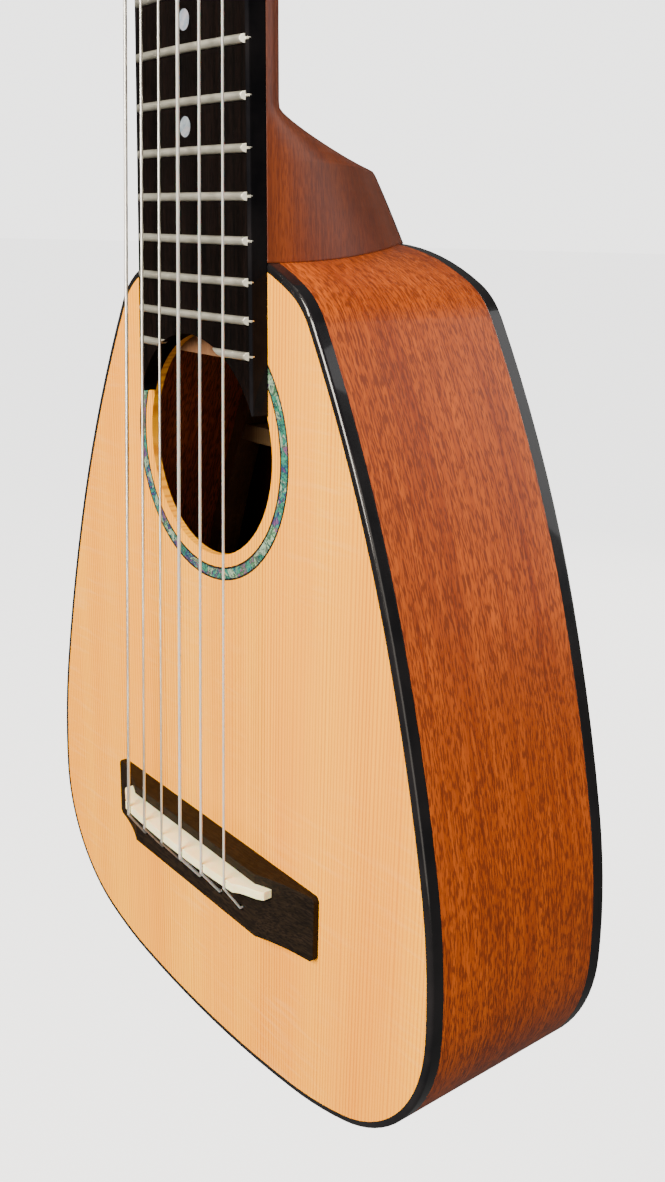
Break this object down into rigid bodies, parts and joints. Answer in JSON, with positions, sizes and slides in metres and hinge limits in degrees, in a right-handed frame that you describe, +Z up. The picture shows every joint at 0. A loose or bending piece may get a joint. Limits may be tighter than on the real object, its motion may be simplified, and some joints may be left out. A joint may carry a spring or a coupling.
{
  "type": "guitar",
  "caption": "Small teardrop-bodied nylon-string guitar with a spruce top, deep heel, scalloped fingerboard end, thin-winged bridge and geared tuners, held by its neck.",
  "frame": {"origin": "hanger seat, on the middle plane in the soundboard's front plane, just above the nut", "axes": "+Z up the neck towards the headstock, -Y out of the soundboard, +Y out of the back, +X to the treble side"},
  "size_m": [0.2174, 0.0866, 0.6492],
  "materials": {
    "spruce_top": "satin lacquer",
    "mahogany": "gloss lacquer",
    "mahogany_neck": "satin lacquer",
    "black_binding": "gloss",
    "shell": "gloss",
    "block_wood": "raw",
    "brace_wood": "raw",
    "dark_wood": "satin",
    "fingerboard_wood": "oiled",
    "fret_metal": "polished",
    "pearl_dot": "gloss",
    "bone": "polished",
    "nylon": "clear gloss",
    "wound_string": "fine ribbed",
    "nickel": "polished",
    "steel": "machined",
    "button_plastic": "gloss"
  },
  "bodies": {
    "guitar": {"soundboard": "spruce_top", "back_plate": "mahogany", "treble_rib": "mahogany", "bass_rib": "mahogany", "top_binding": "black_binding", "back_binding": "black_binding", "rosette_shell": "shell", "rosette_lines": "black_binding", "neck_block": "block_wood", "tail_block": "block_wood", "top_lining": "block_wood", "back_lining": "block_wood", "top_braces": "brace_wood", "back_braces": "brace_wood", "bridge_plate": "block_wood", "neck": "mahogany_neck", "heel_cap": "black_binding", "head_veneer": "dark_wood", "fingerboard": "fingerboard_wood", "board_binding": "black_binding", "frets": "fret_metal", "position_dots": "pearl_dot", "nut": "bone", "bridge": "dark_wood", "saddle": "bone", "string_1": "nylon", "string_2": "nylon", "string_3": "nylon", "string_4": "wound_string", "string_5": "wound_string", "string_6": "wound_string", "string_knots": "nylon", "tuner_plates": "nickel", "tuner_screws": "nickel", "post_bushings": "nickel"},
    "tuner_post_1": {"post_1": "nickel", "winding_1": "nylon"},
    "tuner_button_1": {"worm_1": "steel", "button_1": "button_plastic"},
    "tuner_post_2": {"post_2": "nickel", "winding_2": "nylon"},
    "tuner_button_2": {"worm_2": "steel", "button_2": "button_plastic"},
    "tuner_post_3": {"post_3": "nickel", "winding_3": "nylon"},
    "tuner_button_3": {"worm_3": "steel", "button_3": "button_plastic"},
    "tuner_post_4": {"post_4": "nickel", "winding_4": "wound_string"},
    "tuner_button_4": {"worm_4": "steel", "button_4": "button_plastic"},
    "tuner_post_5": {"post_5": "nickel", "winding_5": "wound_string"},
    "tuner_button_5": {"worm_5": "steel", "button_5": "button_plastic"},
    "tuner_post_6": {"post_6": "nickel", "winding_6": "wound_string"},
    "tuner_button_6": {"worm_6": "steel", "button_6": "button_plastic"}
  },
  "joints": [
    {"name": "post_turn_1", "type": "hinge", "parent": "guitar", "child": "tuner_post_1", "pos_m": [0.021, 0.02035, 0.02313], "axis": [0, 0.9781, -0.2079], "continuous": true},
    {"name": "button_turn_1", "type": "hinge", "parent": "guitar", "child": "tuner_button_1", "pos_m": [0.021, 0.02291, 0.01593], "axis": [1, 0, 0], "continuous": true},
    {"name": "post_turn_2", "type": "hinge", "parent": "guitar", "child": "tuner_post_2", "pos_m": [0.021, 0.02783, 0.05834], "axis": [0, 0.9781, -0.2079], "continuous": true},
    {"name": "button_turn_2", "type": "hinge", "parent": "guitar", "child": "tuner_button_2", "pos_m": [0.021, 0.03039, 0.05115], "axis": [1, 0, 0], "continuous": true},
    {"name": "post_turn_3", "type": "hinge", "parent": "guitar", "child": "tuner_post_3", "pos_m": [0.021, 0.03532, 0.09355], "axis": [0, 0.9781, -0.2079], "continuous": true},
    {"name": "button_turn_3", "type": "hinge", "parent": "guitar", "child": "tuner_button_3", "pos_m": [0.021, 0.03788, 0.08636], "axis": [1, 0, 0], "continuous": true},
    {"name": "post_turn_4", "type": "hinge", "parent": "guitar", "child": "tuner_post_4", "pos_m": [-0.021, 0.03532, 0.09355], "axis": [0, 0.9781, -0.2079], "continuous": true},
    {"name": "button_turn_4", "type": "hinge", "parent": "guitar", "child": "tuner_button_4", "pos_m": [-0.021, 0.04058, 0.09909], "axis": [-1, 0, 0], "continuous": true},
    {"name": "post_turn_5", "type": "hinge", "parent": "guitar", "child": "tuner_post_5", "pos_m": [-0.021, 0.02783, 0.05834], "axis": [0, 0.9781, -0.2079], "continuous": true},
    {"name": "button_turn_5", "type": "hinge", "parent": "guitar", "child": "tuner_button_5", "pos_m": [-0.021, 0.0331, 0.06387], "axis": [-1, 0, 0], "continuous": true},
    {"name": "post_turn_6", "type": "hinge", "parent": "guitar", "child": "tuner_post_6", "pos_m": [-0.021, 0.02035, 0.02313], "axis": [0, 0.9781, -0.2079], "continuous": true},
    {"name": "button_turn_6", "type": "hinge", "parent": "guitar", "child": "tuner_button_6", "pos_m": [-0.021, 0.02561, 0.02866], "axis": [-1, 0, 0], "continuous": true}
  ],
  "couplings": [
    {"joint": "post_turn_1", "follows": "button_turn_1", "ratio": 0.071429},
    {"joint": "post_turn_2", "follows": "button_turn_2", "ratio": 0.071429},
    {"joint": "post_turn_3", "follows": "button_turn_3", "ratio": 0.071429},
    {"joint": "post_turn_4", "follows": "button_turn_4", "ratio": 0.071429},
    {"joint": "post_turn_5", "follows": "button_turn_5", "ratio": 0.071429},
    {"joint": "post_turn_6", "follows": "button_turn_6", "ratio": 0.071429}
  ]
}
